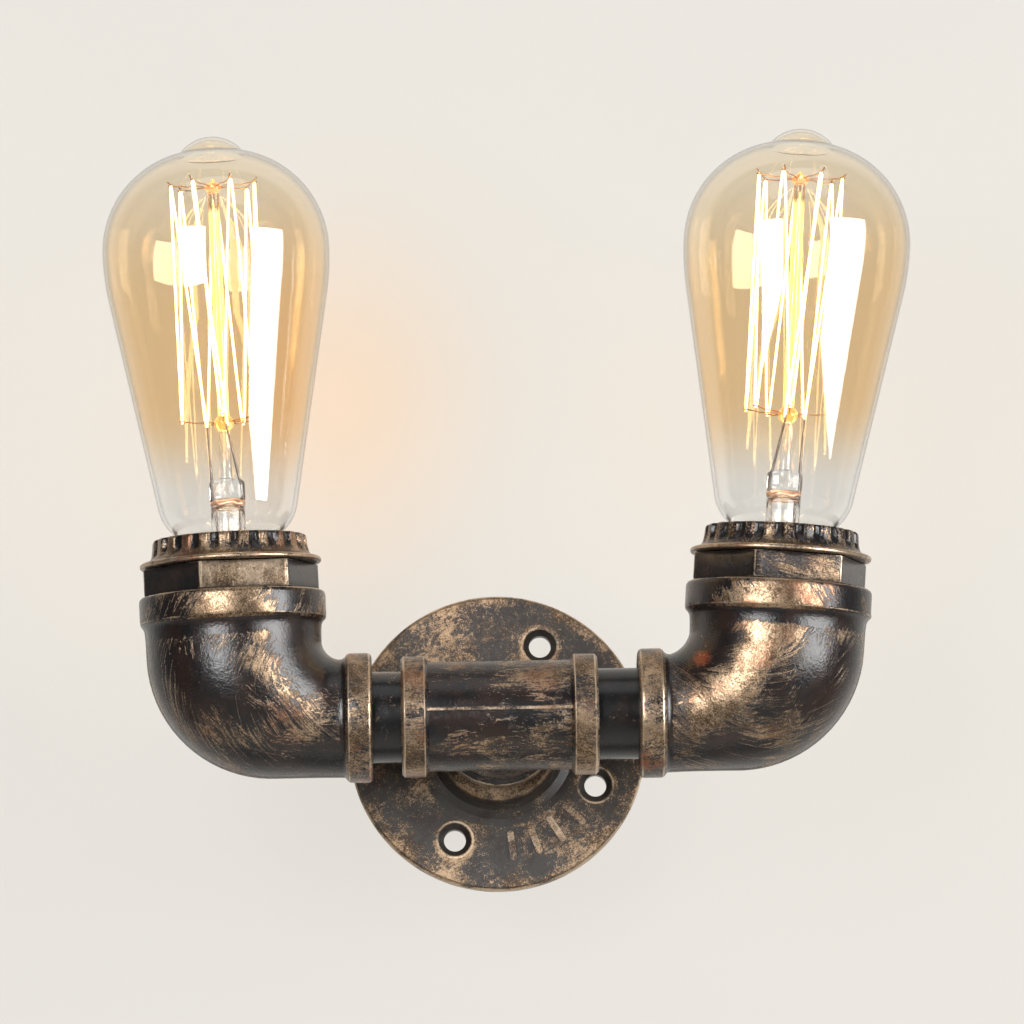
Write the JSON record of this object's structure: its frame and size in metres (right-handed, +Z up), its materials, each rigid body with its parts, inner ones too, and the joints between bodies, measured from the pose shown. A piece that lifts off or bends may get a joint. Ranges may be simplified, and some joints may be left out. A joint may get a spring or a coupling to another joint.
{
  "type": "industrial pipe wall light",
  "caption": "Wall light made of pipe fittings: a round wall flange carries a tee whose arms end in upturned elbows, each holding a tall amber filament bulb.",
  "frame": {"origin": "centre of the wall flange's back face, where it meets the wall", "axes": "+Z up, +Y into the wall, +X to the viewer's right, along the pipe run"},
  "size_m": [0.23, 0.1016, 0.2094],
  "materials": {
    "aged_iron": "black, rubbed through to antique bronze on the edges, satin",
    "aged_pipe": "near-black enamel with faint bronze rubbing",
    "aged_bronze": "blackened and brushed back to bronze",
    "porcelain": "white glaze",
    "nickelled": "nickel plate",
    "brass_contact": "bare stamped brass",
    "amber_glass": "clear blown glass with an amber tint that fades out towards the neck",
    "clear_glass": "clear lead glass",
    "black_glass": "black vitreous insulator",
    "cap_metal": "rolled brass cap",
    "solder": "dull tin solder",
    "lead_wire": "oxidised nickel wire",
    "filament": "incandescent thread, glowing warm yellow-white",
    "sleeve": "black sleeving",
    "core_wire": "brown insulated wire",
    "copper_crimp": "crimped copper end cap"
  },
  "bodies": {
    "wall_plate": {"wall_flange": "aged_iron", "wall_pipe": "aged_pipe"},
    "cross_tee": {"tee": "aged_iron", "left_run_pipe": "aged_pipe", "right_run_pipe": "aged_pipe", "left_run_lead": "sleeve", "right_run_lead": "sleeve", "supply_lead": "sleeve", "splice_caps": "copper_crimp", "splice_cores": "core_wire"},
    "left_arm": {"left_elbow": "aged_iron", "left_hex_collar": "aged_bronze", "left_socket_body": "porcelain", "left_screw_shell": "nickelled", "left_centre_contact": "brass_contact", "left_terminals": "brass_contact", "left_terminal_screws": "nickelled", "left_lamp_lead": "sleeve", "left_lead_cores": "core_wire"},
    "left_ring": {"left_knurled_ring": "aged_bronze"},
    "left_bulb_foot": {"left_bulb_contact": "solder"},
    "left_bulb": {"left_bulb_glass": "amber_glass", "left_bulb_cap": "cap_metal", "left_bulb_insulator": "black_glass", "left_bulb_stem": "clear_glass", "left_bulb_leads": "lead_wire", "left_bulb_hooks": "lead_wire", "left_bulb_filament": "filament"},
    "right_arm": {"right_elbow": "aged_iron", "right_hex_collar": "aged_bronze", "right_socket_body": "porcelain", "right_screw_shell": "nickelled", "right_centre_contact": "brass_contact", "right_terminals": "brass_contact", "right_terminal_screws": "nickelled", "right_lamp_lead": "sleeve", "right_lead_cores": "core_wire"},
    "right_ring": {"right_knurled_ring": "aged_bronze"},
    "right_bulb_foot": {"right_bulb_contact": "solder"},
    "right_bulb": {"right_bulb_glass": "amber_glass", "right_bulb_cap": "cap_metal", "right_bulb_insulator": "black_glass", "right_bulb_stem": "clear_glass", "right_bulb_leads": "lead_wire", "right_bulb_hooks": "lead_wire", "right_bulb_filament": "filament"}
  },
  "joints": [
    {"name": "arm_swivel", "type": "hinge", "parent": "wall_plate", "child": "cross_tee", "pos_m": [0, -0.0605, 0], "axis": [0, 1, 0], "range_deg": [-180, 180]},
    {"name": "left_arm_tilt", "type": "hinge", "parent": "cross_tee", "child": "left_arm", "pos_m": [-0.07395, -0.0605, 0], "axis": [1, 0, 0], "range_deg": [-14, 176]},
    {"name": "left_ring_turn", "type": "hinge", "parent": "left_arm", "child": "left_ring", "pos_m": [-0.07395, -0.0605, 0], "axis": [-0.0332, -0.0662, 0.9973], "range_deg": [0, 720]},
    {"name": "left_bulb_rise", "type": "slide", "parent": "left_arm", "child": "left_bulb_foot", "axis": [-0.0332, -0.0662, 0.9973], "range_m": [0, 0.0127]},
    {"name": "left_bulb_unscrew", "type": "hinge", "parent": "left_bulb_foot", "child": "left_bulb", "pos_m": [-0.07395, -0.0605, 0], "axis": [-0.0332, -0.0662, 0.9973], "range_deg": [0, 1260]},
    {"name": "right_arm_tilt", "type": "hinge", "parent": "cross_tee", "child": "right_arm", "pos_m": [0.07725, -0.0605, 0], "axis": [1, 0, 0], "range_deg": [-14, 176]},
    {"name": "right_ring_turn", "type": "hinge", "parent": "right_arm", "child": "right_ring", "pos_m": [0.07725, -0.0605, 0], "axis": [0.0732, -0.0661, 0.9951], "range_deg": [0, 720]},
    {"name": "right_bulb_rise", "type": "slide", "parent": "right_arm", "child": "right_bulb_foot", "axis": [0.0732, -0.0661, 0.9951], "range_m": [0, 0.0127]},
    {"name": "right_bulb_unscrew", "type": "hinge", "parent": "right_bulb_foot", "child": "right_bulb", "pos_m": [0.07725, -0.0605, 0], "axis": [0.0732, -0.0661, 0.9951], "range_deg": [0, 1260]}
  ],
  "couplings": [
    {"joint": "left_bulb_rise", "follows": "left_bulb_unscrew", "m_per_rad": 0.00057773},
    {"joint": "right_bulb_rise", "follows": "right_bulb_unscrew", "m_per_rad": 0.00057773}
  ]
}
